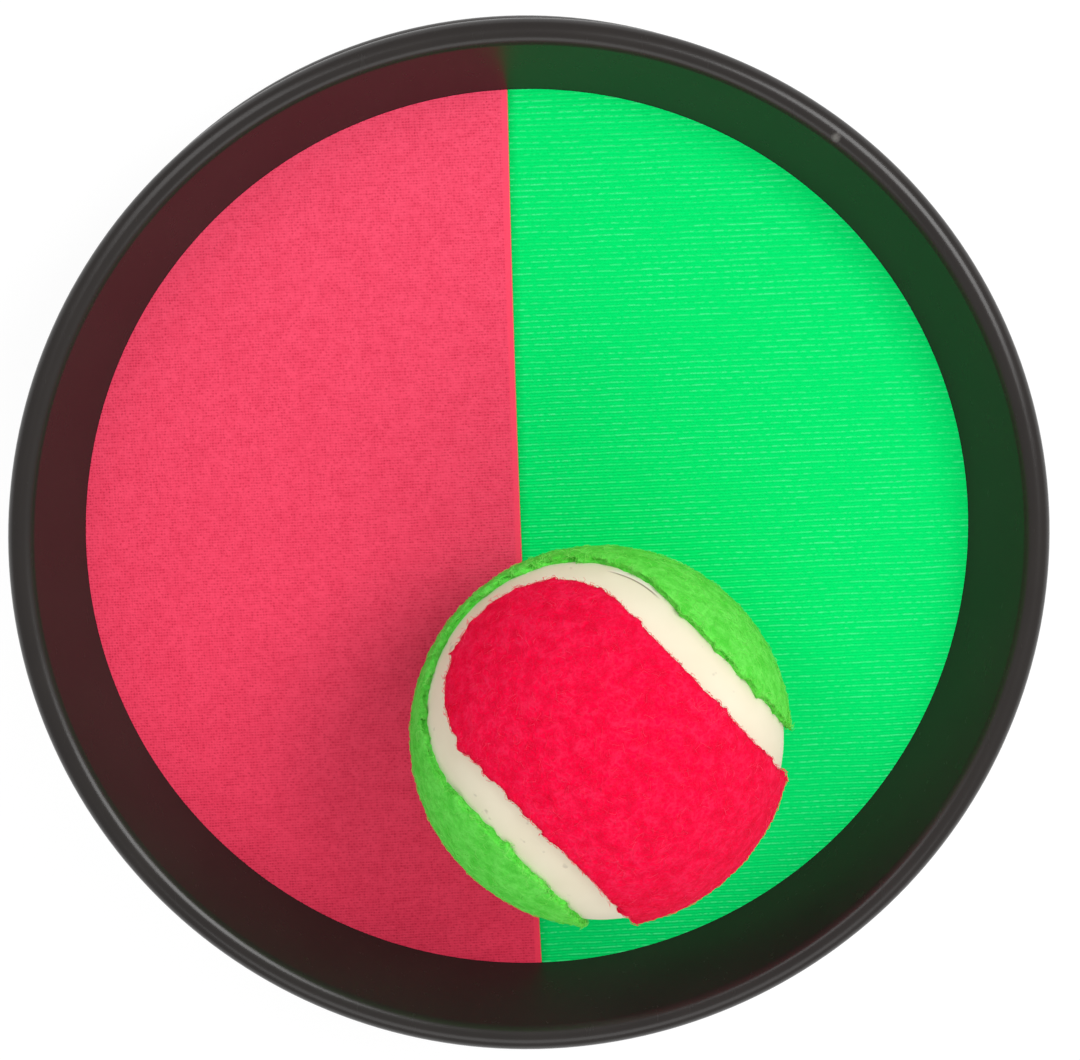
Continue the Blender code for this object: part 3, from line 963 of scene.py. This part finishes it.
def green_cloth():
    shader = Shader("green_cloth", Specular_IOR_Level=0.05)
    place = shader.place(turn=-SPLIT_LEAN)
    x, y = shader.axes(place)[:2]
    wander = shader.noise(place, 120.0, 2.0) * 0.0004
    ribs = (y + wander).wave(RIB_PITCH)
    crest = (y + wander).wave(2 * RIB_PITCH).power(7.0)
    stitch = shader.noise(place, 900.0, 2.0, 0.6, stretch=(1.0, 1.2, 1.0)).between(0.42, 0.60)
    patchy = shader.noise(place, 200.0, 3.0, 0.6, stretch=(0.5, 1.4, 1.0)).between(0.38, 0.62)
    floats = crest * (stitch * 0.95 + 0.05) * (patchy * 0.7 + 0.3)
    tuft = shader.noise(place, 2400.0, 2.0)
    colour = shader.mix((ribs * 0.30 + tuft * 0.6).clamped(), (0.0, 0.66, 0.120, 1), (0.0, 0.83, 0.18, 1))
    edge = from_split(x, y).between(0.0003, 0.0016, 1.0, 0.0)
    colour = shader.mix(edge * (0.3 + tuft * 0.5), colour, (0.0, 0.48, 0.075, 1))
    shader.set("Base Color", shader.mix(floats * 0.66, colour, (0.11, 0.96, 0.38, 1)))
    shader.set("Roughness", 0.9)
    shader.bump(ribs * 0.35 + tuft * 0.4 + floats * 0.5, 0.0003, 0.6)
    return shader.material


pink, green = pink_cloth(), green_cloth()
for board in BOARDS:
    paint(pink, cloths[board, "pink"])
    paint(green, cloths[board, "green"])

# %% [markdown]
# **Webbing and tape.** The strap is a black twill: diagonal ribs in the weave, only just visible. The
# tapes have a coarser bristle.

# %% Webbing and tape
TWILL_PITCH = 0.0011
CROSS_PITCH = 0.0005


def webbing():
    shader = Shader("webbing", Sheen_Weight=0.1)
    place = shader.place(turn=-SPLIT_LEAN)
    x, y = shader.axes(place)[:2]
    weave = (x + y).wave(TWILL_PITCH) * 0.7 + (x - y * 0.4).wave(CROSS_PITCH) * 0.3
    shader.set("Base Color", shader.mix(weave, (0.006, 0.006, 0.007, 1), (0.030, 0.030, 0.033, 1)))
    shader.set("Roughness", 0.78)
    shader.bump(weave, 0.0003, 0.8)
    return shader.material


def tape():
    shader = Shader("tape")
    place = shader.place(turn=-SPLIT_LEAN)
    bristle = shader.noise(place, 1600.0, 1.0)
    shader.set("Base Color", shader.mix(bristle, (0.006, 0.006, 0.006, 1), (0.045, 0.045, 0.05, 1)))
    shader.set("Roughness", 0.9)
    shader.bump(bristle, 0.0005, 0.9)
    return shader.material


strap_cloth, strap_tape = webbing(), tape()
for board in BOARDS:
    paint(strap_cloth, *named_pieces(f"{board}_strap"))
    paint(strap_tape, *named_pieces(f"{board}_loop_tape", f"{board}_hook_tape"))

# %% [markdown]
# **Felts.** Felt is a mat of curled fibres. Bright fibres and broader curls come from the ridges of two
# noises, and dark pits from the lows of a third. The loose fibres have a paler colour of their own.

# %% Felts
def felt(name, deep, base, bright):
    shader = Shader(name, Specular_IOR_Level=0.08)
    place = shader.place(centre=BALL_CENTRE)
    mat = shader.noise(place, 420.0, 3.0, 0.6)
    fine = shader.noise(place, 1500.0, 3.0, 0.6)
    curls = shader.noise(place, 700.0, 2.0, 0.5)
    ridge = shader.ridge(fine, 12.0)
    swirl = shader.ridge(curls, 9.0) * mat.between(0.45, 0.60)
    body = shader.mix(mat.between(0.32, 0.56), deep, base)
    shader.set("Base Color", shader.mix((ridge * 0.35 + swirl * 0.60).clamped(), body, bright))
    shader.set("Roughness", 0.95)
    shader.bump(ridge * 0.4 + mat * 0.6 + swirl * 0.3, 0.0005, 0.6)
    return shader.material


def fibre_colour(name, colour, pale):
    shader = Shader(name, Specular_IOR_Level=0.1)
    place = shader.place(centre=BALL_CENTRE)
    shader.set("Base Color", shader.mix(shader.noise(place, 300.0, 2.0).between(0.4, 0.6), colour, pale))
    shader.set("Roughness", 0.9)
    return shader.material


def paint_felt(panel, mat, fibres):
    """The mat's faces come first in the mesh, and the faces of the fibres after them."""
    paint(mat, panel)
    panel.data.materials.append(fibres)
    first = mat_faces[panel.name]
    slots = [0] * first + [1] * (len(panel.data.polygons) - first)
    panel.data.polygons.foreach_set("material_index", slots)


red_mat = felt("red_felt", (0.82, 0.0, 0.032, 1), (0.97, 0.001, 0.048, 1), (1.0, 0.022, 0.095, 1))
red_fibres = fibre_colour("red_fibres", (0.97, 0.006, 0.060, 1), (1.0, 0.050, 0.135, 1))
paint_felt(bpy.data.objects["red_panel"], red_mat, red_fibres)
lime_mat = felt("lime_felt", (0.075, 0.65, 0.040, 1), (0.130, 0.79, 0.078, 1), (0.21, 0.92, 0.13, 1))
lime_fibres = fibre_colour("lime_fibres", (0.18, 0.82, 0.09, 1), (0.28, 0.88, 0.16, 1))
paint_felt(bpy.data.objects["lime_panel"], lime_mat, lime_fibres)

# %% [markdown]
# **Bare rubber.** Cream, a little cloudy, with a few faint pits. A thin curved nick shows where a skin
# of rubber has lifted: an arc is all points at one angle from a pole, so one dot product draws it.

# %% Rubber
NICK_POLE = Vector((-0.2383, 0.5904, 0.7711))
NICK_LEVEL = 0.7860
NICK_MIDDLE = Vector((0.1734, 0.9141, 0.3664))
NICK_REACH = math.radians(10.5)
NICK_WIDTH = 0.0060


def rubber():
    shader = Shader("rubber", IOR=1.42)
    place = shader.place(centre=BALL_CENTRE)
    cloudy = shader.noise(place, 90.0, 3.0)
    pits = shader.noise(place, 380.0, 2.0).between(0.70, 0.76)
    colour = shader.mix(cloudy, (0.80, 0.71, 0.52, 1), (0.90, 0.83, 0.65, 1))
    colour = shader.mix(pits * 0.5, colour, (0.50, 0.45, 0.36, 1))
    outward = shader.node("ShaderNodeVectorMath", {"operation": "NORMALIZE"}, {0: place})
    beside = shader.dot(outward, NICK_POLE) - NICK_LEVEL
    near = shader.dot(outward, NICK_MIDDLE).between(math.cos(NICK_REACH), math.cos(0.6 * NICK_REACH))
    line = (1 - beside.size() / NICK_WIDTH).clamped() * near
    flap = beside.between(-0.09, -0.01, 0.0, 1.0) * beside.between(0.0, 0.002, 1.0, 0.0) * near
    colour = shader.mix(flap * 0.5, colour, (0.90, 0.84, 0.78, 1))
    shader.set("Base Color", shader.mix(line, colour, (0.22, 0.15, 0.09, 1)))
    shader.set("Roughness", 0.55 + cloudy * 0.15)
    shader.bump(cloudy * 0.5 - pits * 0.5 - line + flap * 0.6, 0.0003, 0.5)
    return shader.material


paint(rubber(), core)

# %% [markdown]
# ## Floor, light and camera
#
# The set lies on a white sweep. The floor shows plain white to the camera and to reflections, but
# lights the object like pale paper. Large soft boxes stand round it, and the camera looks down from
# where the photograph's circles put it.

# %% Floor
FLOOR_SIZE = 6.0
FLOOR_GLOW = 1.1
GLOW_SHARE = 0.82
WORLD_LIGHT = 0.53

select_none()
bpy.ops.mesh.primitive_plane_add(size=FLOOR_SIZE)
floor = named(bpy.context.object, "floor")
sweep = Shader("sweep", Base_Color=(0.80, 0.80, 0.80, 1), Roughness=0.9)
path = sweep.tree.nodes.new("ShaderNodeLightPath")
seen = Sock(sweep, path.outputs["Is Camera Ray"]) + Sock(sweep, path.outputs["Is Glossy Ray"])
seen = seen + Sock(sweep, path.outputs["Is Transmission Ray"])
glow = sweep.node("ShaderNodeEmission", {}, {"Color": (1, 1, 1, 1), "Strength": FLOOR_GLOW})
lit = Sock(sweep, sweep.surface.outputs["BSDF"])
shown = sweep.node("ShaderNodeMixShader", {}, {0: seen.clamped() * GLOW_SHARE, 1: lit, 2: glow})
sweep.link(shown, sweep.tree.nodes["Material Output"].inputs["Surface"])
paint(sweep.material, floor)

world = bpy.data.worlds.new("studio")
bpy.context.scene.world = world
world.use_nodes = True
world.node_tree.nodes["Background"].inputs["Color"].default_value = (1, 1, 1, 1)
world.node_tree.nodes["Background"].inputs["Strength"].default_value = WORLD_LIGHT


# %% Soft boxes
LIT_PLACE = Vector((0, 0, 0.05))


def soft_box(name, place, size, power):
    light = bpy.data.lights.new(name, "AREA")
    light.shape = "RECTANGLE"
    light.size, light.size_y = size
    light.energy = power
    box = bpy.data.objects.new(name, light)
    bpy.context.scene.collection.objects.link(box)
    box.location = place
    box.rotation_euler = (LIT_PLACE - Vector(place)).to_track_quat("-Z", "Y").to_euler()
    print(f"{name} soft box: {size[0]:.2f} x {size[1]:.2f} m, {power} W")


soft_box("right", (0.62, 0.39, 1.02), (0.60, 0.58), 8.2)
soft_box("left", (-0.52, 0.52, 1.02), (0.40, 0.70), 2.5)
soft_box("front", (0.10, -0.95, 1.00), (1.30, 0.60), 4.5)

# %% Camera
CLOTH_HEIGHT = BOARD_PITCH + CLOTH_TOP
CAMERA_PLACE = Vector((-0.0253, 0.1025, 0.7072 + CLOTH_HEIGHT))
CAMERA_TARGET = Vector((0.0020, 0.0005, CLOTH_HEIGHT))
FOCAL_PX = 3962.0
PHOTO_WIDTH = 1080.0

lens = bpy.data.cameras.new("camera")
lens.sensor_fit = "HORIZONTAL"
lens.sensor_width = 36.0
lens.lens = FOCAL_PX / PHOTO_WIDTH * lens.sensor_width
camera = bpy.data.objects.new("camera", lens)
bpy.context.scene.collection.objects.link(camera)
camera.location = CAMERA_PLACE
back = (CAMERA_PLACE - CAMERA_TARGET).normalized()
right = Vector((0, 1, 0)).cross(back).normalized()
up = back.cross(right)
camera.rotation_euler = Matrix((right, up, back)).transposed().to_euler()
bpy.context.scene.camera = camera
bpy.context.scene.view_settings.view_transform = "Standard"
off_down = math.degrees(back.angle(Vector((0, 0, 1))))
print(f"lens {lens.lens:.1f} mm, camera {off_down:.1f} degrees off straight down")
